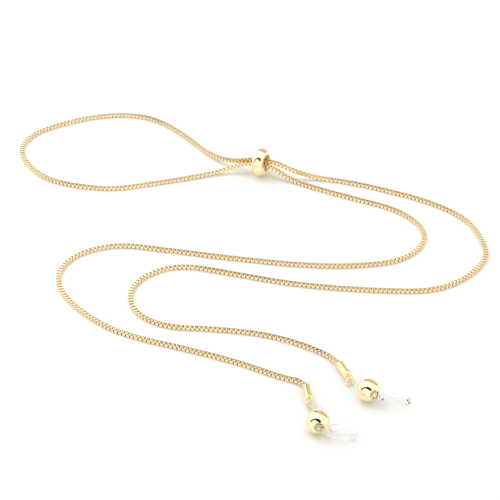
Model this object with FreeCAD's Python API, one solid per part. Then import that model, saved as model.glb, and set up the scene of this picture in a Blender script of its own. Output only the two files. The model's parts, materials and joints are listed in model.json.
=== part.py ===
import FreeCAD, Part
import math
import os

from FreeCAD import Placement, Rotation, Vector

# Eyeglasses chain strap: one box chain doubled through a slider ring, with a crimped cap, a jump ring,
# a clear temple loop and a ball bead on each end. Millimetres, +Z up, lying on the plane z = 0.
# +X runs to the right and +Y away from the temple loops; the origin is on the table,
# under the middle of the footprint of the slider and the two end fittings.

# driving dimensions
CHAIN_D = 1.15             # across the flats of the box chain
SLIDER_D = 8.5             # over the crown of the slider ring
SLIDER_LENGTH = 3.3
SLIDER_FACE_D = 7.0        # where the crown meets the two end faces
SLIDER_BORE_D = 5.0
GRIP_LENGTH = 1.6
GRIP_HOLE_D = 3.4
CAP_D = 2.2
CAP_LENGTH = 6.25
CAP_BORE_D = 1.27
CAP_BORE_DEPTH = 2.2
CAP_MOUTH_ROUND = 0.3
CAP_END_ROUND = 0.6
EYELET_REACH = 1.0         # from the cap's end face to the middle of the eyelet
EYELET_THICKNESS = 0.36
EYELET_OUTER_R = 0.56
EYELET_HOLE_R = 0.345
RING_R = 0.95              # jump ring, middle of the wire
RING_WIRE_R = 0.24
RING_SLIT_ANGLE = 5.0
SMALL_EYE_R = 1.5          # small silicone eye, middle of the strand
SMALL_EYE_STRAND_R = 0.35
SMALL_EYE_AHEAD = 0.75     # the eye's middle, in front of the jump ring's plane
SMALL_EYE_ASIDE = 1.28     # the eye's middle, beside the jump ring's middle
SMALL_EYE_DROP = 0.12      # its strand passes this far below the jump ring's middle
NECK_R = 1.15
STRAND_R = 0.8             # large loop
STUB_R = 0.74              # between the neck and the large loop
BALL_D = 6.0
BALL_WALL = 0.35
BALL_HOLE_D = 2.44
BEND_RADIUS = 1.3
LOOP_LENGTH = 7.2          # large loop, along the middle of its strand
LOOP_HALF_WIDTH = 1.9      # at its far end, to the middle of the strand
LOOP_NEAR_R = 0.95         # its narrow end

TABLE_GAP = 0.03           # between a resting strand and the table
FLOOR = CHAIN_D / 2        # height of the chain's middle where it lies flat
QUARTER_TURN = 90.0

# slider ring: middle of the bore, and the way its axis points
SLIDER_CENTRE = Vector(-16.6, 58.0, 4.25)
SLIDER_HEADING = -22.0
SLIDER_PITCH = 5.0
STRAND_SHIFT = (0.5, 0.42)  # strand to bore axis: sideways and up

# each end: eyelet middle, the way the cap points, the roll of the small eye about the cap, the ball's
# middle, the reach from there to the bend of the silicone, the stub from that bend to the near end of
# the large loop, the heading of the large loop, and its roll
ENDS = {
    "front": dict(eyelet=Vector(-5.23, -49.27, 2.15), heading=-85.3, pitch=8.0, eye_roll=-7.0,
                  ball=Vector(-3.45, -57.8, 3.0), reach=4.6, stub=2.35, loop_heading=17.5, loop_roll=12.0),
    "rear": dict(eyelet=Vector(5.22, -40.1, 2.15), heading=-71.3, pitch=7.6, eye_roll=26.0,
                 ball=Vector(9.5, -45.84, 3.0), reach=4.0, stub=1.5, loop_heading=13.0, loop_roll=-16.0),
}


def heading_vector(heading, pitch=0.0):
    """Unit vector that points along a heading in the XY plane, raised by a pitch angle."""
    flat = math.cos(math.radians(pitch))
    return Vector(flat * math.cos(math.radians(heading)),
                  flat * math.sin(math.radians(heading)),
                  math.sin(math.radians(pitch)))


def unit(vector):
    return vector * (1.0 / vector.Length)


def placed(shape, origin, heading, pitch, roll):
    """Move a shape from its own frame, whose +X is its axis, to where it lies."""
    turn = Rotation(Vector(0, 0, 1), heading)
    turn = turn.multiply(Rotation(Vector(0, 1, 0), -pitch))
    turn = turn.multiply(Rotation(Vector(1, 0, 0), roll))
    shape = shape.copy()
    shape.Placement = Placement(origin, turn)
    return shape


def axis_in_place(local, heading, pitch, roll):
    """A direction of the same frame, seen in the frame of the whole strap."""
    turn = Rotation(Vector(0, 0, 1), heading)
    turn = turn.multiply(Rotation(Vector(0, 1, 0), -pitch))
    turn = turn.multiply(Rotation(Vector(1, 0, 0), roll))
    return turn.multVec(local)


def revolved(profile_edges):
    """Solid of revolution about X of a closed half profile in the XY plane."""
    return Part.Face(Part.Wire(profile_edges)).revolve(Vector(), Vector(1, 0, 0), 360)


def line(a, b):
    return Part.LineSegment(a, b).toShape()


def arc(a, middle, b):
    return Part.Arc(a, middle, b).toShape()


def rounded_path(points):
    """Straight runs joined by tangent arcs, and the smallest and largest arc radius."""
    edges = []
    radii = []
    here = points[0]
    for before, corner, after in zip(points, points[1:], points[2:]):
        back = unit(before - corner)
        ahead = unit(after - corner)
        half_turn = (math.pi - back.getAngle(ahead)) / 2
        reach = 0.45 * min((before - corner).Length, (after - corner).Length)
        radius = reach / math.tan(half_turn)
        radii.append(radius)
        start = corner + back * reach
        stop = corner + ahead * reach
        inward = unit(back + ahead)
        centre_distance = radius / math.cos(half_turn)
        middle = corner + inward * (centre_distance - radius)
        edges.append(line(here, start))
        edges.append(arc(start, middle, stop))
        here = stop
    edges.append(line(here, points[-1]))
    return Part.Wire(edges), radii


def tube(wire, start, direction, radius):
    """Round tube of one radius along a wire that starts at a point."""
    section = Part.Wire(Part.makeCircle(radius, start, direction))
    return wire.makePipeShell([section], True, False)


def crimp_cap():
    """Turned cap with a blind bore for the chain and a flat eyelet; the origin is the eyelet's middle."""
    mouth = -EYELET_REACH - CAP_LENGTH
    end = -EYELET_REACH
    outer = CAP_D / 2
    bore = CAP_BORE_D / 2
    bottom = mouth + CAP_BORE_DEPTH
    slope = math.sqrt(0.5)
    mouth_mid = Vector(mouth + CAP_MOUTH_ROUND * (1 - slope), outer - CAP_MOUTH_ROUND * (1 - slope), 0)
    end_mid = Vector(end - CAP_END_ROUND * (1 - slope), outer - CAP_END_ROUND * (1 - slope), 0)
    body = revolved([
        line(Vector(bottom, 0, 0), Vector(bottom, bore, 0)),
        line(Vector(bottom, bore, 0), Vector(mouth, bore, 0)),
        line(Vector(mouth, bore, 0), Vector(mouth, outer - CAP_MOUTH_ROUND, 0)),
        arc(Vector(mouth, outer - CAP_MOUTH_ROUND, 0), mouth_mid, Vector(mouth + CAP_MOUTH_ROUND, outer, 0)),
        line(Vector(mouth + CAP_MOUTH_ROUND, outer, 0), Vector(end - CAP_END_ROUND, outer, 0)),
        arc(Vector(end - CAP_END_ROUND, outer, 0), end_mid, Vector(end, outer - CAP_END_ROUND, 0)),
        line(Vector(end, outer - CAP_END_ROUND, 0), Vector(end, 0, 0)),
        line(Vector(end, 0, 0), Vector(bottom, 0, 0)),
    ])
    half = EYELET_THICKNESS / 2
    shank_length = EYELET_REACH + CAP_END_ROUND
    shank_half = 0.78 * EYELET_OUTER_R
    disc = Part.makeCylinder(EYELET_OUTER_R, EYELET_THICKNESS, Vector(0, -half, 0), Vector(0, 1, 0))
    shank = Part.makeBox(shank_length, EYELET_THICKNESS, 2 * shank_half,
                         Vector(-shank_length, -half, -shank_half))
    hole = Part.makeCylinder(EYELET_HOLE_R, 4 * half, Vector(0, -2 * half, 0), Vector(0, 1, 0))
    return body.fuse([disc, shank]).cut(hole).removeSplitter()


def jump_ring():
    """Open wire ring that hangs in the eyelet; the eyelet's middle is the origin."""
    section = Part.Face(Part.Wire(Part.makeCircle(RING_WIRE_R, Vector(0, 0, -2 * RING_R), Vector(0, 1, 0))))
    ring = section.revolve(Vector(0, 0, -RING_R), Vector(1, 0, 0), 360 - RING_SLIT_ANGLE)
    ring.rotate(Vector(0, 0, -RING_R), Vector(1, 0, 0), 40)
    return ring


def ring_centre(end):
    hang = axis_in_place(Vector(0, 0, -RING_R), end["heading"], end["pitch"], 0.0)
    return end["eyelet"] + hang


def eye_centre(end):
    """Middle of the small moulded eye, which is threaded through the jump ring."""
    drop = axis_in_place(Vector(0, 0, -SMALL_EYE_DROP), end["heading"], end["pitch"], 0.0)
    local = Vector(SMALL_EYE_AHEAD, SMALL_EYE_ASIDE, 0)
    return ring_centre(end) + drop + axis_in_place(local, end["heading"], end["pitch"], end["eye_roll"])


def eye_axis(end):
    """The way that the small eye faces; the temple loop swings on the jump ring about it."""
    return axis_in_place(Vector(0, 0, 1), end["heading"], end["pitch"], end["eye_roll"])


def pear_ring(near_end, along, across):
    """Closed pear-shaped ring of round strand, narrow at near_end; it runs along and spreads across."""
    near_middle = near_end + along * LOOP_NEAR_R
    far_middle = near_end + along * (LOOP_LENGTH - LOOP_HALF_WIDTH)
    lean = math.asin((LOOP_HALF_WIDTH - LOOP_NEAR_R) / (far_middle - near_middle).Length)
    left = across * math.cos(lean) - along * math.sin(lean)
    right = across * -math.cos(lean) - along * math.sin(lean)
    near_left = near_middle + left * LOOP_NEAR_R
    near_right = near_middle + right * LOOP_NEAR_R
    far_left = far_middle + left * LOOP_HALF_WIDTH
    far_right = far_middle + right * LOOP_HALF_WIDTH
    path = Part.Wire([
        line(near_right, far_right),
        arc(far_right, near_end + along * LOOP_LENGTH, far_left),
        line(far_left, near_left),
        arc(near_left, near_end, near_right),
    ])
    return tube(path, near_right, far_right - near_right, STRAND_R)


def bent_stub(start, corner, stop):
    """Round strand of silicone from start to stop, bent once near corner."""
    back = unit(start - corner)
    ahead = unit(stop - corner)
    half_turn = (math.pi - back.getAngle(ahead)) / 2
    reach = BEND_RADIUS * math.tan(half_turn)
    inward = unit(back + ahead)
    middle = corner + inward * (BEND_RADIUS / math.cos(half_turn) - BEND_RADIUS)
    path = Part.Wire([
        line(start, corner + back * reach),
        arc(corner + back * reach, middle, corner + ahead * reach),
        line(corner + ahead * reach, stop),
    ])
    return tube(path, start, corner - start, STUB_R)


def loop_directions(end, bend):
    """Unit vectors along and across the large loop, which slopes from the bend down to the table."""
    roll = math.radians(end["loop_roll"])
    rest_height = STRAND_R + LOOP_HALF_WIDTH * abs(math.sin(roll)) * 0.9 + TABLE_GAP
    drop = (bend.z - rest_height) / (end["stub"] + LOOP_LENGTH)
    along = heading_vector(end["loop_heading"], -math.degrees(math.asin(drop)))
    level = unit(Vector(0, 0, 1).cross(along))
    upright = along.cross(level)
    return along, level * math.cos(roll) + upright * math.sin(roll)


def temple_loop(end):
    """Moulded silicone piece: small eye, neck through the ball, bend, and large loop for the temple."""
    centre = eye_centre(end)
    eye = Part.makeTorus(SMALL_EYE_R, SMALL_EYE_STRAND_R, centre, eye_axis(end))
    ball = end["ball"]
    forward = unit(ball - centre)
    bend = ball + forward * end["reach"]
    along, across = loop_directions(end, bend)
    neck_start = centre + forward * SMALL_EYE_R
    neck_length = (ball - neck_start).Length + BALL_D / 2
    neck = Part.makeCylinder(NECK_R, neck_length, neck_start, forward)
    near_end = bend + along * end["stub"]
    stub = bent_stub(ball + forward, bend, near_end + along * LOOP_NEAR_R * 0.4)
    loop = pear_ring(near_end, along, across)
    return eye.fuse([neck, stub, loop]).removeSplitter(), forward


def ball_bead(centre, forward):
    """Hollow metal ball with a through hole along the neck."""
    outer = Part.makeSphere(BALL_D / 2, centre)
    inner = Part.makeSphere(BALL_D / 2 - BALL_WALL, centre)
    hole = Part.makeCylinder(BALL_HOLE_D / 2, BALL_D + 2, centre - forward * (BALL_D / 2 + 1), forward)
    return outer.cut(inner).cut(hole)


def slider_shell():
    """Crowned metal ring; its bore runs along its own X."""
    half = SLIDER_LENGTH / 2
    bore = SLIDER_BORE_D / 2
    face = SLIDER_FACE_D / 2
    return revolved([
        line(Vector(-half, bore, 0), Vector(half, bore, 0)),
        line(Vector(half, bore, 0), Vector(half, face, 0)),
        arc(Vector(half, face, 0), Vector(0, SLIDER_D / 2, 0), Vector(-half, face, 0)),
        line(Vector(-half, face, 0), Vector(-half, bore, 0)),
    ])


def slider_grip():
    """Silicone bush in the middle of the slider's bore, which holds the two strands by friction."""
    outer = Part.makeCylinder(SLIDER_BORE_D / 2, GRIP_LENGTH, Vector(-GRIP_LENGTH / 2, 0, 0), Vector(1, 0, 0))
    hole = Part.makeCylinder(GRIP_HOLE_D / 2, GRIP_LENGTH + 2, Vector(-GRIP_LENGTH / 2 - 1, 0, 0),
                             Vector(1, 0, 0))
    return outer.cut(hole)


def strand_in_slider(side, along):
    """A point of a strand near the slider: side is +1 for the rear upper strand, -1 for the other."""
    axis = heading_vector(SLIDER_HEADING, SLIDER_PITCH)
    sideways = heading_vector(SLIDER_HEADING + QUARTER_TURN)
    upward = axis.cross(sideways)
    shift = sideways * STRAND_SHIFT[0] + upward * STRAND_SHIFT[1]
    return SLIDER_CENTRE + axis * along + shift * side


def cap_end(end, depth):
    """A point on a cap's axis, at a depth behind its mouth."""
    return end["eyelet"] + heading_vector(end["heading"], end["pitch"]) * (depth - EYELET_REACH - CAP_LENGTH)


def chain_route():
    """Middle line of the chain, from the rear cap to the front cap."""
    rear = ENDS["rear"]
    front = ENDS["front"]
    mouth_lead = -2.0
    on_table = [
        (-3.6, -26.0), (-15.5, -20.2), (-30.0, -17.8), (-42.5, -17.2), (-51.0, -11.0), (-53.0, -1.5),
        (-48.5, 6.5), (-39.0, 11.0), (-24.0, 6.5), (-7.0, 1.5), (13.0, -1.0), (30.5, -1.5),
        (41.0, 6.0), (46.5, 15.0), (45.5, 24.5), (42.0, 34.0), (33.0, 42.0), (21.0, 48.0), (9.5, 52.8),
        (0.5, 54.9),
    ]
    route = [cap_end(rear, CAP_BORE_DEPTH), cap_end(rear, mouth_lead)]
    route += [Vector(x, y, FLOOR) for x, y in on_table]
    route += [Vector(-6.8, 55.4, 2.7), strand_in_slider(1, 4.0), strand_in_slider(1, -2.4),
              Vector(-25.8, 61.9, 2.0)]
    neck_loop = [
        (-32.5, 68.2), (-39.5, 78.5), (-48.5, 88.5), (-58.0, 92.0), (-70.0, 90.5), (-82.0, 84.5),
        (-87.5, 79.5), (-90.5, 72.0), (-87.5, 63.0), (-81.0, 54.5), (-71.0, 50.5), (-60.5, 49.0),
        (-52.5, 51.0), (-38.5, 55.0),
    ]
    route += [Vector(x, y, FLOOR) for x, y in neck_loop]
    route += [Vector(-27.5, 58.6, 0.9), strand_in_slider(-1, -5.0), strand_in_slider(-1, 3.2)]
    back_to_front = [
        (-8.0, 53.9), (0.0, 49.2), (11.0, 43.7), (22.5, 38.4), (28.8, 30.6), (30.0, 23.0), (25.0, 15.0),
        (16.5, 11.0), (-1.5, 10.0), (-25.0, 14.0), (-43.5, 18.0), (-58.0, 21.0), (-69.5, 15.5),
        (-73.5, 5.5), (-69.5, -5.5), (-58.5, -17.0), (-49.0, -22.0), (-37.0, -26.2), (-23.0, -31.8),
        (-11.8, -38.1),
    ]
    route += [Vector(x, y, FLOOR) for x, y in back_to_front]
    route += [cap_end(front, mouth_lead), cap_end(front, CAP_BORE_DEPTH)]
    return route


def save(shape, node):
    if shape.ShapeType == "Compound" and len(shape.Solids) == 1:
        shape = shape.Solids[0]
    shape.exportStep("parts/" + node + ".step")
    box = shape.BoundBox
    print(f"{node:16s} solids {len(shape.Solids)} valid {shape.isValid()} volume {shape.Volume:9.3f}"
          f"  x {box.XMin:8.3f} {box.XMax:8.3f}  y {box.YMin:8.3f} {box.YMax:8.3f}"
          f"  z {box.ZMin:7.3f} {box.ZMax:7.3f}")
    return shape


def make_chain():
    points = chain_route()
    path, radii = rounded_path(points)
    chain = tube(path, points[0], points[1] - points[0], CHAIN_D / 2)
    expected = math.pi * CHAIN_D ** 2 / 4 * path.Length
    print(f"chain length {path.Length:.1f}, volume over section times length {chain.Volume / expected:.4f}")
    print("arc radii", " ".join(f"{radius:.1f}" for radius in radii))
    runs = [(b - a).Length for a, b in zip(points, points[1:])]
    print("runs", " ".join(f"{run:.1f}" for run in runs))
    return chain


def main():
    os.makedirs("parts", exist_ok=True)
    save(make_chain(), "box_chain")
    slider_place = (SLIDER_CENTRE, SLIDER_HEADING, SLIDER_PITCH, 0.0)
    save(placed(slider_shell(), *slider_place), "slider_shell")
    save(placed(slider_grip(), *slider_place), "slider_grip")
    for name, end in ENDS.items():
        lie = (end["eyelet"], end["heading"], end["pitch"], 0.0)
        save(placed(crimp_cap(), *lie), "crimp_cap_" + name)
        save(placed(jump_ring(), *lie), "jump_ring_" + name)
        loop, forward = temple_loop(end)
        save(loop, "temple_loop_" + name)
        save(ball_bead(end["ball"], forward), "ball_bead_" + name)


main()
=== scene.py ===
import json
import math

import bmesh
import bpy
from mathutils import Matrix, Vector


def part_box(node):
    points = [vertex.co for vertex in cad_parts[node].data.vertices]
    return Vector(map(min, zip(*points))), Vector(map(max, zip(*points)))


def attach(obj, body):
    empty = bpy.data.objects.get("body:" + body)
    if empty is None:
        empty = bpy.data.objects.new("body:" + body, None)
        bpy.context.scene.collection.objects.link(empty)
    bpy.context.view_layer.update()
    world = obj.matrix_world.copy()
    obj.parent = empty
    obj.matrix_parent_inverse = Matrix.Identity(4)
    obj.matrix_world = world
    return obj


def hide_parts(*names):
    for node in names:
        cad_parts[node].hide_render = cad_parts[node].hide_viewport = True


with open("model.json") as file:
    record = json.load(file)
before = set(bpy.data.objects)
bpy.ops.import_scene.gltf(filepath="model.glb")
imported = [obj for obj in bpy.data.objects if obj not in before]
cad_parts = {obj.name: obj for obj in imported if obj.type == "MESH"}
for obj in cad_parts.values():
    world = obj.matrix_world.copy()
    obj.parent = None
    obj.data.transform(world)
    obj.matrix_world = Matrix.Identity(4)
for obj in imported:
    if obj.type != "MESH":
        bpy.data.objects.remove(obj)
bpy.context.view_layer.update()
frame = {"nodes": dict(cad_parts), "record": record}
record = frame["record"]
MM = 0.001

# chain: folded square links, each turned a quarter about the chain from the one before
LINK_PITCH = 0.61 * MM
LINK_OUTER = 1.12 * MM      # across the chain
LINK_LENGTH = 0.97 * MM     # along the chain
BAND_WIDTH = 0.84 * MM
BAND_THICKNESS = 0.13 * MM
LINK_CORNER = 0.14 * MM     # radius of the band's bends
CORNER_STEPS = 2            # faces in each bend
CROWN = 0.015 * MM          # rise of the band's outside in its middle
END_PAINTED_SHADE = 0.85         # how much of the bright tint a link's ends lose to painted shade, where the links meet

# temple loop, as in the CAD part
SMALL_EYE_R = 1.5 * MM
SMALL_EYE_STRAND_R = 0.35 * MM
NECK_R = 1.15 * MM
STRAND_R = 0.8 * MM
STUB_R = 0.74 * MM
BALL_R = 3.0 * MM
BEND_RADIUS = 1.3 * MM
LOOP_LENGTH = 7.2 * MM
LOOP_HALF_WIDTH = 1.9 * MM
LOOP_NEAR_R = 0.95 * MM
TABLE_GAP = 0.03 * MM

# where each end's loop lies: the reach from the ball's middle to the bend of the silicone, the stub from
# that bend to the large loop, and the large loop's heading and roll in degrees
LOOPS = {
    "front": dict(reach=4.6 * MM, stub=2.35 * MM, heading=17.5, roll=12.0),
    "rear": dict(reach=4.0 * MM, stub=1.5 * MM, heading=13.0, roll=-16.0),
}

# the silicone's finer shape
NECK_RECESS = 0.8 * MM      # the thick neck stops this far inside the ball's surface
NECK_PLAY = 0.05 * MM       # and is this much thinner than the CAD part's neck
NECK_START_R = 0.42 * MM    # where it leaves the small eye
NECK_SWELL = 9              # it reaches its full radius in a ninth of its length
NECK_TAPER = 14             # and narrows over the last fourteenth
NECK_END = 0.8              # to this share of its radius
REST_SHARE = 0.9            # share of a rolled loop's half width that lifts its middle from the table
STUB_START = 1.0 * MM       # the stub's strand starts this far ahead of the ball's middle
STUB_OVERLAP = 0.4          # and runs this share of LOOP_NEAR_R into the loop
EYE_SINK = 0.3              # the neck starts this share of the eye's strand inside the eye
SKIN = 0.02 * MM            # stub, loop and grip stay this far inside the CAD solids
VOXEL = 0.07 * MM           # cell size of the silicone's skin
SOFTENING = 14              # rounds of smoothing over its joins

# how finely round things are divided
STRAND_SIDES = 20
LOOP_SIDES = 24
NECK_SIDES = 32
GRIP_SIDES = 72
EYE_STEPS = 48
NECK_STEPS = 40
FAR_STEPS = 32
NEAR_STEPS = 16
BEND_STEPS = 12
LIP_STEPS = 6
ROUTE_STEPS = 24            # between two points of the chain's route
SHARP = math.radians(50)    # steeper edges stay crisp

# slider grip, as in the CAD part
SLIDER_HEADING = -22.0
SLIDER_PITCH = 5.0
GRIP_LENGTH = 1.6 * MM
GRIP_OUTER_R = 2.5 * MM
GRIP_HOLE_R = 1.7 * MM
GRIP_ROUND = 0.3 * MM

# the chain's route, the points of the CAD part in millimetres
ROUTE = [
    (3.615, -35.359, 1.482), (2.280, -31.415, 0.927), (-3.6, -26.0, 0.575), (-15.5, -20.2, 0.575),
    (-30.0, -17.8, 0.575), (-42.5, -17.2, 0.575), (-51.0, -11.0, 0.575), (-53.0, -1.5, 0.575),
    (-48.5, 6.5, 0.575), (-39.0, 11.0, 0.575), (-24.0, 6.5, 0.575), (-7.0, 1.5, 0.575),
    (13.0, -1.0, 0.575), (30.5, -1.5, 0.575), (41.0, 6.0, 0.575), (46.5, 15.0, 0.575),
    (45.5, 24.5, 0.575), (42.0, 34.0, 0.575), (33.0, 42.0, 0.575), (21.0, 48.0, 0.575),
    (9.5, 52.8, 0.575), (0.5, 54.9, 0.575), (-6.8, 55.4, 2.7), (-12.752, 56.985, 5.017),
    (-18.663, 59.373, 4.459), (-25.8, 61.9, 2.0), (-32.5, 68.2, 0.575), (-39.5, 78.5, 0.575),
    (-48.5, 88.5, 0.575), (-58.0, 92.0, 0.575), (-70.0, 90.5, 0.575), (-82.0, 84.5, 0.575),
    (-87.5, 79.5, 0.575), (-90.5, 72.0, 0.575), (-87.5, 63.0, 0.575), (-81.0, 54.5, 0.575),
    (-71.0, 50.5, 0.575), (-60.5, 49.0, 0.575), (-52.5, 51.0, 0.575), (-38.5, 55.0, 0.575),
    (-27.5, 58.6, 0.9), (-21.372, 59.389, 3.396), (-13.798, 56.329, 4.110), (-8.0, 53.9, 0.575),
    (0.0, 49.2, 0.575), (11.0, 43.7, 0.575), (22.5, 38.4, 0.575), (28.8, 30.6, 0.575),
    (30.0, 23.0, 0.575), (25.0, 15.0, 0.575), (16.5, 11.0, 0.575), (-1.5, 10.0, 0.575),
    (-25.0, 14.0, 0.575), (-43.5, 18.0, 0.575), (-58.0, 21.0, 0.575), (-69.5, 15.5, 0.575),
    (-73.5, 5.5, 0.575), (-69.5, -5.5, 0.575), (-58.5, -17.0, 0.575), (-49.0, -22.0, 0.575),
    (-37.0, -26.2, 0.575), (-23.0, -31.8, 0.575), (-11.8, -38.1, 0.575), (-5.981, -40.141, 0.863),
    (-5.640, -44.286, 1.447),
]

# noise in the materials
NOISE_DETAIL = 3.0
NOISE_LOW = 0.3
NOISE_HIGH = 0.7
GLOSS_SCALE = 2.7           # the gold's gloss varies over smaller spots than its tint
RELIEF_SCALE = 6            # and its relief over the smallest
RELIEF = 0.02 * MM          # depth of the fine relief
SILICONE_TINT = 300.0       # scales of the silicone's tint, gloss and relief
SILICONE_GLOSS = 700.0
SILICONE_FINE = 1800.0
SILICONE_BUMP = 0.04

# table and key light, in metres and watts
FLOOR_REACH = 3.0
FLOOR_SCALE = 3.0
FLOOR_WHITES = ((0.935, 0.935, 0.935), (0.93, 0.93, 0.928))
FLOOR_SINK = 0.02 * MM      # the table stays this far under the lowest strand
KEY_PLACE = (-0.35, 0.25, 0.75)
KEY_AIM = (-0.02, 0.02, 0.0)
KEY_SIZE = (0.6, 0.6)
KEY_POWER = 1.5

# surroundings: colours and the directions that the dark shapes lie around
SURROUNDINGS = 1.25         # strength
WHITE = (1.0, 1.0, 0.99)
OLIVE = (0.62, 0.56, 0.36)
DARK_OLIVE = (0.10, 0.08, 0.03)
BLACK = (0.0, 0.0, 0.0)
FAR_SIDE = (0.37, 0.905, 0.19)
NEAR_SIDE = (-0.393, -0.913, 0.105)
ABOVE = (-0.30, 0.0, 0.95)
BLOB = (0.05, -0.55, 0.83)
EVERYWHERE = (2.0, 1.5)     # a fall that leaves nothing out

# camera, in metres, with its lens and sensor in millimetres
CAMERA_PLACE = (-0.020, -0.372, 0.2773)
CAMERA_TILT = math.radians(54.641)
CAMERA_LENS = 122.74
CAMERA_SENSOR = 36
CAMERA_NEAR = 0.01


def principled(name, **values):
    """A material with its Principled BSDF, its nodes and its links."""
    material = bpy.data.materials.new(name)
    material.use_nodes = True
    nodes = material.node_tree.nodes
    links = material.node_tree.links
    shader = nodes["Principled BSDF"]
    for socket, value in values.items():
        shader.inputs[socket.replace("_", " ")].default_value = value
    return material, nodes, links, shader


def noise(nodes, links, scale):
    """The output of a noise in object space, mostly between NOISE_LOW and NOISE_HIGH."""
    place = nodes.new("ShaderNodeTexCoord")
    texture = nodes.new("ShaderNodeTexNoise")
    texture.inputs["Scale"].default_value = scale
    texture.inputs["Detail"].default_value = NOISE_DETAIL
    links.new(place.outputs["Object"], texture.inputs["Vector"])
    return texture.outputs["Fac"]


def noise_range(nodes, links, scale, low, high):
    """The output of a noise mapped to the range from low to high."""
    span = nodes.new("ShaderNodeMapRange")
    span.inputs["From Min"].default_value = NOISE_LOW
    span.inputs["From Max"].default_value = NOISE_HIGH
    span.inputs["To Min"].default_value = low
    span.inputs["To Max"].default_value = high
    links.new(noise(nodes, links, scale), span.inputs["Value"])
    return span.outputs["Result"]


def add_bump(nodes, links, shader, height, strength):
    """Feeds a height to the shader's normal as fine relief."""
    bump = nodes.new("ShaderNodeBump")
    bump.inputs["Strength"].default_value = strength
    bump.inputs["Distance"].default_value = RELIEF
    links.new(height, bump.inputs["Height"])
    links.new(bump.outputs["Normal"], shader.inputs["Normal"])


def colour_mix(nodes, links, shader, factor, colour_a, colour_b):
    """Mixes two base colours by a factor."""
    ramp = nodes.new("ShaderNodeMix")
    ramp.data_type = "RGBA"
    ramp.inputs["A"].default_value = (*colour_a, 1)
    ramp.inputs["B"].default_value = (*colour_b, 1)
    links.new(factor, ramp.inputs["Factor"])
    links.new(ramp.outputs["Result"], shader.inputs["Base Color"])


def gold(name, pale, deep, smooth, rough, scale, bump):
    """Polished gold plate: its tint and gloss vary a little over the surface."""
    material, nodes, links, shader = principled(name, Metallic=1.0, Specular_IOR_Level=0.5)
    colour_mix(nodes, links, shader, noise_range(nodes, links, scale, 0.0, 1.0), pale, deep)
    gloss = noise_range(nodes, links, scale * GLOSS_SCALE, smooth, rough)
    links.new(gloss, shader.inputs["Roughness"])
    add_bump(nodes, links, shader, noise(nodes, links, scale * RELIEF_SCALE), bump)
    return material


def silicone(name, clear, cloudy, smooth, rough):
    """Clear moulded silicone: faintly cloudy, with a soft skin."""
    material, nodes, links, shader = principled(
        name, Metallic=0.0, IOR=1.16, Transmission_Weight=1.0, Coat_Weight=0.35, Coat_Roughness=0.08)
    colour_mix(nodes, links, shader, noise_range(nodes, links, SILICONE_TINT, 0.0, 1.0), clear, cloudy)
    links.new(noise_range(nodes, links, SILICONE_GLOSS, smooth, rough), shader.inputs["Roughness"])
    add_bump(nodes, links, shader, noise(nodes, links, SILICONE_FINE), SILICONE_BUMP)
    return material


def paint_recess_shade(material, tint):
    """Paints shade into a material: mixes a darker tint in where the lit share that the links carry is
    low, on their insides and ends.
    """
    nodes = material.node_tree.nodes
    links = material.node_tree.links
    shader = nodes["Principled BSDF"]
    painted_lit_share = nodes.new("ShaderNodeAttribute")
    painted_lit_share.attribute_name = "painted_lit_share"
    mix = nodes.new("ShaderNodeMix")
    mix.data_type = "RGBA"
    mix.inputs["A"].default_value = (*tint, 1)
    links.new(shader.inputs["Base Color"].links[0].from_socket, mix.inputs["B"])
    links.new(painted_lit_share.outputs["Fac"], mix.inputs["Factor"])
    links.new(mix.outputs["Result"], shader.inputs["Base Color"])


PALE = (0.98, 0.86, 0.57)
DEEP = (0.96, 0.81, 0.49)
POLISHED = gold("polished_gold", PALE, DEEP, smooth=0.01, rough=0.035, scale=260.0, bump=0.02)
CHAIN_GOLD = gold("chain_gold", (1.0, 0.89, 0.62), (1.0, 0.85, 0.56),
                  smooth=0.14, rough=0.24, scale=420.0, bump=0.1)
# painted shade: a darker gold on the links' insides and ends, where the gaps between the links lie in
# shadow
paint_recess_shade(CHAIN_GOLD, (0.86, 0.63, 0.32))
SOFT_POLISHED = gold("soft_polished_gold", PALE, DEEP, smooth=0.17, rough=0.22, scale=260.0, bump=0.02)
SILICONE = silicone("clear_silicone", (1.0, 1.0, 1.0), (0.985, 0.985, 0.985), smooth=0.18, rough=0.28)
GRIP_SILICONE = silicone("grip_silicone", (0.93, 0.84, 0.68), (0.88, 0.77, 0.58), smooth=0.35, rough=0.45)


def paint(node, material):
    """Gives a CAD node a new material."""
    thing = frame["nodes"][node]
    for place in thing.material_slots:
        place.material = material
    if not thing.material_slots:
        thing.data.materials.append(material)


def new_piece(name, mesh, material, body, slot, *nodes):
    """A piece with one material that rides on a body and stands for CAD nodes."""
    piece = bpy.data.objects.new(name, mesh)
    bpy.context.scene.collection.objects.link(piece)
    mesh.materials.clear()
    mesh.materials.append(material)
    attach(piece, body)
    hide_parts(*nodes)
    return piece


def route_line():
    """Points along the chain's smooth middle line, close together, in metres."""
    curve = bpy.data.curves.new("route", "CURVE")
    curve.dimensions = "3D"
    curve.resolution_u = ROUTE_STEPS
    spline = curve.splines.new("NURBS")
    spline.points.add(len(ROUTE) - 1)
    for point, place in zip(spline.points, ROUTE):
        point.co = (*(MM * value for value in place), 1)
    spline.order_u = 3
    spline.use_endpoint_u = True
    holder = bpy.data.objects.new("route", curve)
    bpy.context.scene.collection.objects.link(holder)
    bpy.context.view_layer.update()
    mesh = bpy.data.meshes.new_from_object(holder)
    line = [vertex.co.copy() for vertex in mesh.vertices]
    bpy.data.meshes.remove(mesh)
    bpy.data.objects.remove(holder)
    bpy.data.curves.remove(curve)
    return line


def even_stations(line, step):
    """(place, direction) at even steps along a line, the first half a step in."""
    stations = []
    passed = 0.0
    wanted = step / 2
    for a, b in zip(line, line[1:]):
        span = (b - a).length
        while wanted <= passed + span:
            stations.append(a.lerp(b, (wanted - passed) / span))
            wanted += step
        passed += span
    last = len(stations) - 1
    return [(place, (stations[min(i + 1, last)] - stations[max(i - 1, 0)]).normalized())
            for i, place in enumerate(stations)]


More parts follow.
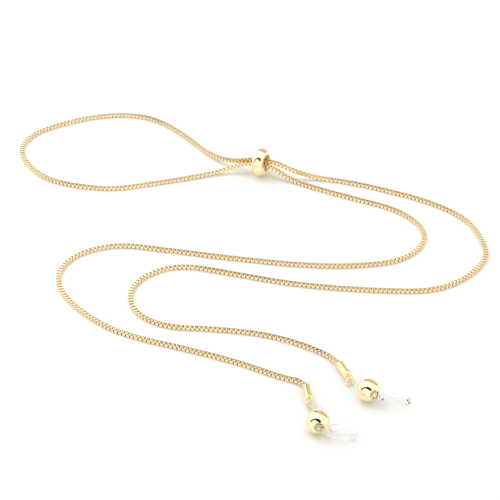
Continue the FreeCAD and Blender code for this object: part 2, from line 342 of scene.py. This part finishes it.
def link_outline():
    """The middle line of one link's band, a rounded square, as (place, outward) pairs."""
    middle = BAND_THICKNESS / 2 + LINK_CORNER
    inner = Vector((LINK_LENGTH / 2 - middle, LINK_OUTER / 2 - middle))
    outline = []
    for quarter in range(4):
        corner = Vector((inner.x * (1, -1, -1, 1)[quarter], inner.y * (1, 1, -1, -1)[quarter]))
        for step in range(CORNER_STEPS + 1):
            angle = (quarter + step / CORNER_STEPS) * math.pi / 2
            outward = Vector((math.cos(angle), math.sin(angle)))
            outline.append((corner + outward * LINK_CORNER, outward))
    return outline


def band_profile():
    """The band's section: (across the band, away from the link's middle, how brightly it is painted, 0
    for the painted shade on the band's inside).
    """
    half = BAND_WIDTH / 2
    thick = BAND_THICKNESS / 2
    return [(-half, thick, 1.0), (0.0, thick + CROWN, 1.0), (half, thick, 1.0), (half, -thick, 0.0),
            (-half, -thick, 0.0)]


def add_link(mesh, painted_lit_share, place, ahead, side, up):
    """One folded link, whose band is open along up; its ends and its inside get painted shade."""
    rings = []
    for middle, outward in link_outline():
        centre = place + ahead * middle.x + side * middle.y
        out = ahead * outward.x + side * outward.y
        # painted shade at the link's ends, where it meets the next link
        face = 1.0 - END_PAINTED_SHADE * outward.x ** 2
        ring = []
        for across, away, bright in band_profile():
            corner = mesh.verts.new(centre + up * across + out * away)
            corner[painted_lit_share] = bright * face
            ring.append(corner)
        rings.append(ring)
    for ring, following in zip(rings, rings[1:] + rings[:1]):
        for a in range(len(ring)):
            b = (a + 1) % len(ring)
            mesh.faces.new((ring[a], following[a], following[b], ring[b]))


def make_chain():
    """The box chain, built of separate links along its route."""
    line = route_line()
    mesh = bmesh.new()
    # each vertex carries how brightly it is painted; low values get the painted shade
    painted_lit_share = mesh.verts.layers.float.new("painted_lit_share")
    for count, (place, ahead) in enumerate(even_stations(line, LINK_PITCH)):
        side = Vector((0, 0, 1)).cross(ahead).normalized()
        up = ahead.cross(side)
        if count % 2:
            add_link(mesh, painted_lit_share, place, ahead, side, up)
        else:
            add_link(mesh, painted_lit_share, place, ahead, up, -side)
    bmesh.ops.recalc_face_normals(mesh, faces=mesh.faces)
    data = bpy.data.meshes.new("box_chain_links")
    mesh.to_mesh(data)
    mesh.free()
    data.polygons.foreach_set("use_smooth", [True] * len(data.polygons))
    data.set_sharp_from_angle(angle=SHARP)
    chain = new_piece("box_chain_links", data, CHAIN_GOLD, "chain", "chain_gold", "box_chain")
    return chain


def joint_of(name):
    """A joint of the record, by its name."""
    return next(joint for joint in record["behaviour"]["joints"] if joint["name"] == name)


def heading_vector(heading, pitch=0.0):
    """Unit vector along a heading in the XY plane, raised by a pitch angle; both in degrees."""
    flat = math.cos(math.radians(pitch))
    return Vector((flat * math.cos(math.radians(heading)), flat * math.sin(math.radians(heading)),
                   math.sin(math.radians(pitch))))


def add_sweep(mesh, line, radii, closed=False, sides=STRAND_SIDES):
    """A round strand along a line of places, with one radius a place."""
    rings = []
    count = len(line)
    across = None
    for i, place in enumerate(line):
        if closed:
            ahead = (line[(i + 1) % count] - line[i - 1]).normalized()
        else:
            ahead = (line[min(i + 1, count - 1)] - line[max(i - 1, 0)]).normalized()
        if across is None:
            across = ahead.orthogonal()
        across = (across - ahead * across.dot(ahead)).normalized()
        up = ahead.cross(across)
        turn = [2 * math.pi * k / sides for k in range(sides)]
        rings.append([mesh.verts.new(place + (across * math.cos(a) + up * math.sin(a)) * radii[i])
                      for a in turn])
    for i in range(count if closed else count - 1):
        ring, following = rings[i], rings[(i + 1) % count]
        for k in range(sides):
            after = (k + 1) % sides
            mesh.faces.new((ring[k], ring[after], following[after], following[k]))
    if not closed:
        mesh.faces.new(list(reversed(rings[0])))
        mesh.faces.new(rings[-1])


def eye_line(centre, facing):
    """The middle line of the small eye, a circle that faces along facing."""
    across = facing.orthogonal().normalized()
    up = facing.cross(across)
    turn = [2 * math.pi * k / EYE_STEPS for k in range(EYE_STEPS)]
    return [centre + (across * math.cos(a) + up * math.sin(a)) * SMALL_EYE_R for a in turn]


def pear_line(near_end, along, across):
    """The middle line of the large loop, narrow at its near end."""
    near_middle = near_end + along * LOOP_NEAR_R
    far_middle = near_end + along * (LOOP_LENGTH - LOOP_HALF_WIDTH)
    lean = math.asin((LOOP_HALF_WIDTH - LOOP_NEAR_R) / (far_middle - near_middle).length)
    line = []
    for step in range(FAR_STEPS + 1):
        angle = (math.pi / 2 + lean) * (2 * step / FAR_STEPS - 1)
        line.append(far_middle + (along * math.cos(angle) + across * math.sin(angle)) * LOOP_HALF_WIDTH)
    for step in range(NEAR_STEPS + 1):
        angle = (math.pi / 2 + lean) + (math.pi - 2 * lean) * step / NEAR_STEPS
        line.append(near_middle + (along * math.cos(angle) + across * math.sin(angle)) * LOOP_NEAR_R)
    return line


def bent_line(start, corner, stop):
    """A line from start to stop, bent on an arc near the corner."""
    back = (start - corner).normalized()
    ahead = (stop - corner).normalized()
    half_turn = (math.pi - back.angle(ahead)) / 2
    reach = BEND_RADIUS * math.tan(half_turn)
    centre = corner + (back + ahead).normalized() * (BEND_RADIUS / math.cos(half_turn))
    first = corner + back * reach - centre
    last = corner + ahead * reach - centre
    turned = first.angle(last)
    sideways = (last - first * (last.dot(first) / first.length_squared)).normalized() * first.length
    angles = [turned * step / BEND_STEPS for step in range(BEND_STEPS + 1)]
    arc = [centre + first * math.cos(angle) + sideways * math.sin(angle) for angle in angles]
    return [start, start.lerp(arc[0], 0.5)] + arc + [arc[-1].lerp(stop, 0.5), stop]


def settled(mesh, name):
    """One closed skin over overlapping strands, with the joins softened."""
    bmesh.ops.recalc_face_normals(mesh, faces=mesh.faces)
    data = bpy.data.meshes.new(name + "_strands")
    mesh.to_mesh(data)
    mesh.free()
    holder = bpy.data.objects.new(name + "_strands", data)
    bpy.context.scene.collection.objects.link(holder)
    skin = holder.modifiers.new("skin", "REMESH")
    skin.mode = "VOXEL"
    skin.voxel_size = VOXEL
    soften = holder.modifiers.new("soften", "SMOOTH")
    soften.factor = 0.5
    soften.iterations = SOFTENING
    bpy.context.view_layer.update()
    result = bpy.data.meshes.new_from_object(
        holder.evaluated_get(bpy.context.evaluated_depsgraph_get()), preserve_all_data_layers=False)
    result.name = name
    bpy.data.objects.remove(holder)
    bpy.data.meshes.remove(data)
    result.polygons.foreach_set("use_smooth", [True] * len(result.polygons))
    return result


def make_temple_loop(end, lay):
    """Moulded silicone: small eye, neck through the ball, bent stub and large loop."""
    hinge = joint_of("loop_" + end + "_swing")
    centre = Vector(hinge["pos_m"])
    low, high = (Vector(corner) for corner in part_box("ball_bead_" + end))
    ball = (low + high) / 2
    forward = (ball - centre).normalized()
    bend = ball + forward * lay["reach"]
    roll = math.radians(lay["roll"])
    rest_height = STRAND_R + LOOP_HALF_WIDTH * abs(math.sin(roll)) * REST_SHARE + TABLE_GAP
    drop = (bend.z - rest_height) / (lay["stub"] + LOOP_LENGTH)
    along = heading_vector(lay["heading"], -math.degrees(math.asin(drop)))
    level = Vector((0, 0, 1)).cross(along).normalized()
    across = level * math.cos(roll) + along.cross(level) * math.sin(roll)
    near_end = bend + along * lay["stub"]
    mesh = bmesh.new()
    eye = eye_line(centre, Vector(hinge["axis"]).normalized())
    add_sweep(mesh, eye, [SMALL_EYE_STRAND_R] * len(eye), True)
    neck = []
    neck_radii = []
    start = centre + forward * (SMALL_EYE_R - SMALL_EYE_STRAND_R * EYE_SINK)
    finish = ball + forward * (BALL_R - NECK_RECESS)
    for step in range(NECK_STEPS + 1):
        part = step / NECK_STEPS
        swell = min(1.0, part * NECK_SWELL)
        taper = min(1.0, (1 - part) * NECK_TAPER)
        radius = NECK_START_R + (NECK_R - NECK_PLAY - NECK_START_R) * swell
        neck.append(start.lerp(finish, part))
        neck_radii.append(radius * (NECK_END + (1 - NECK_END) * taper))
    add_sweep(mesh, neck, neck_radii, sides=NECK_SIDES)
    stub = bent_line(ball + forward * STUB_START, bend, near_end + along * LOOP_NEAR_R * STUB_OVERLAP)
    add_sweep(mesh, stub, [STUB_R - SKIN] * len(stub))
    loop = pear_line(near_end, along, across)
    add_sweep(mesh, loop, [STRAND_R - SKIN] * len(loop), True, sides=LOOP_SIDES)
    data = settled(mesh, "silicone_loop_" + end)
    return new_piece("silicone_loop_" + end, data, SILICONE, "loop_" + end, "clear_silicone",
                     "temple_loop_" + end)


def make_slider_grip():
    """Moulded bush with rounded lips inside the slider ring."""
    low, high = (Vector(corner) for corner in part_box("slider_grip"))
    centre = (low + high) / 2
    ahead = heading_vector(SLIDER_HEADING, SLIDER_PITCH)
    side = Vector((0, 0, 1)).cross(ahead).normalized()
    up = ahead.cross(side)
    half = GRIP_LENGTH / 2
    outer = GRIP_OUTER_R - SKIN
    profile = [(-half, outer), (half, outer)]
    for lip, begin in ((1, 0), (-1, math.pi / 2)):
        for step in range(LIP_STEPS + 1):
            angle = begin + step * math.pi / 2 / LIP_STEPS
            profile.append((lip * (half - GRIP_ROUND) + GRIP_ROUND * math.cos(angle),
                            GRIP_HOLE_R + GRIP_ROUND - GRIP_ROUND * math.sin(angle)))
    mesh = bmesh.new()
    rings = []
    for k in range(GRIP_SIDES):
        angle = 2 * math.pi * k / GRIP_SIDES
        out = side * math.cos(angle) + up * math.sin(angle)
        rings.append([mesh.verts.new(centre + ahead * x + out * r) for x, r in profile])
    for ring, following in zip(rings, rings[1:] + rings[:1]):
        for i in range(len(profile)):
            after = (i + 1) % len(profile)
            mesh.faces.new((ring[i], ring[after], following[after], following[i]))
    bmesh.ops.recalc_face_normals(mesh, faces=mesh.faces)
    data = bpy.data.meshes.new("silicone_grip")
    mesh.to_mesh(data)
    mesh.free()
    data.polygons.foreach_set("use_smooth", [True] * len(data.polygons))
    data.set_sharp_from_angle(angle=SHARP)
    return new_piece("silicone_grip", data, GRIP_SILICONE, "slider", "clear_silicone", "slider_grip")


make_chain()
for end, lay in LOOPS.items():
    make_temple_loop(end, lay)
make_slider_grip()
for node in frame["nodes"]:
    if node.startswith(("crimp_cap", "jump_ring", "ball_bead")):
        paint(node, POLISHED)
paint("slider_shell", SOFT_POLISHED)


def stage_floor():
    """White table under the strap."""
    mesh = bpy.data.meshes.new("floor")
    corners = [(-1, -1), (1, -1), (1, 1), (-1, 1)]
    mesh.from_pydata([(FLOOR_REACH * x, FLOOR_REACH * y, 0) for x, y in corners], [], [(0, 1, 2, 3)])
    floor = bpy.data.objects.new("floor", mesh)
    floor.location.z = -FLOOR_SINK
    bpy.context.scene.collection.objects.link(floor)
    material, nodes, links, shader = principled("floor_white", Roughness=0.6, Specular_IOR_Level=0.2)
    tint = noise_range(nodes, links, FLOOR_SCALE, 0.0, 1.0)
    colour_mix(nodes, links, shader, tint, *FLOOR_WHITES)
    mesh.materials.append(material)


def make_key_light():
    """Large soft light from behind on the left."""
    data = bpy.data.lights.new("key", "AREA")
    data.shape = "RECTANGLE"
    data.size, data.size_y = KEY_SIZE
    data.energy = KEY_POWER
    light = bpy.data.objects.new("key", data)
    light.location = KEY_PLACE
    light.rotation_euler = (Vector(KEY_AIM) - Vector(KEY_PLACE)).to_track_quat("-Z", "Y").to_euler()
    bpy.context.scene.collection.objects.link(light)


def window(nodes, links, direction, rise, fall):
    """1 where the dot of the view with a direction is between rise and fall, each (outer, inner)."""
    place = nodes.new("ShaderNodeTexCoord")
    dot = nodes.new("ShaderNodeVectorMath")
    dot.operation = "DOT_PRODUCT"
    dot.inputs[1].default_value = Vector(direction).normalized()
    links.new(place.outputs["Generated"], dot.inputs[0])
    product = None
    for outer, inner in (rise, fall):
        span = nodes.new("ShaderNodeMapRange")
        span.interpolation_type = "SMOOTHSTEP"
        span.inputs["From Min"].default_value = min(outer, inner)
        span.inputs["From Max"].default_value = max(outer, inner)
        span.inputs["To Min"].default_value = 0.0 if outer < inner else 1.0
        span.inputs["To Max"].default_value = 1.0 if outer < inner else 0.0
        links.new(dot.outputs["Value"], span.inputs["Value"])
        edge = span.outputs["Result"]
        product = edge if product is None else times(nodes, links, product, edge)
    return product


def times(nodes, links, a, b):
    """The product of two sockets."""
    multiply = nodes.new("ShaderNodeMath")
    multiply.operation = "MULTIPLY"
    links.new(a, multiply.inputs[0])
    links.new(b, multiply.inputs[1])
    return multiply.outputs["Value"]


def studio_world():
    """Soft white surroundings with a few darker shapes, which the polished metal mirrors."""
    world = bpy.data.worlds.new("studio")
    bpy.context.scene.world = world
    world.use_nodes = True
    nodes = world.node_tree.nodes
    links = world.node_tree.links
    background = nodes["Background"]
    patches = [
        # colour, then windows: direction, rise (outer, inner), fall (outer, inner)
        (OLIVE, ((FAR_SIDE, (0.83, 0.86), EVERYWHERE),)),
        (DARK_OLIVE, ((FAR_SIDE, (0.79, 0.815), (0.88, 0.855)),)),
        (BLACK, ((NEAR_SIDE, (0.46, 0.50), (0.67, 0.63)), (ABOVE, (0.35, 0.45), EVERYWHERE))),
        (BLACK, ((NEAR_SIDE, (0.39, 0.43), (0.75, 0.71)), (BLOB, (0.885, 0.91), EVERYWHERE))),
    ]
    colour = None
    for tint, windows in patches:
        factor = None
        for direction, rise, fall in windows:
            part = window(nodes, links, direction, rise, fall)
            factor = part if factor is None else times(nodes, links, factor, part)
        mix = nodes.new("ShaderNodeMix")
        mix.data_type = "RGBA"
        if colour is None:
            mix.inputs["A"].default_value = (*WHITE, 1)
        else:
            links.new(colour, mix.inputs["A"])
        mix.inputs["B"].default_value = (*tint, 1)
        links.new(factor, mix.inputs["Factor"])
        colour = mix.outputs["Result"]
    links.new(colour, background.inputs["Color"])
    background.inputs["Strength"].default_value = SURROUNDINGS


def make_camera():
    """Long lens, looking down at the strap from the front."""
    data = bpy.data.cameras.new("camera")
    data.lens = CAMERA_LENS
    data.sensor_width = CAMERA_SENSOR
    data.clip_start = CAMERA_NEAR
    camera = bpy.data.objects.new("camera", data)
    camera.location = CAMERA_PLACE
    camera.rotation_euler = (CAMERA_TILT, 0, 0)
    bpy.context.scene.collection.objects.link(camera)
    bpy.context.scene.camera = camera


stage_floor()
studio_world()
make_key_light()
make_camera()
bpy.context.scene.view_settings.view_transform = "Standard"
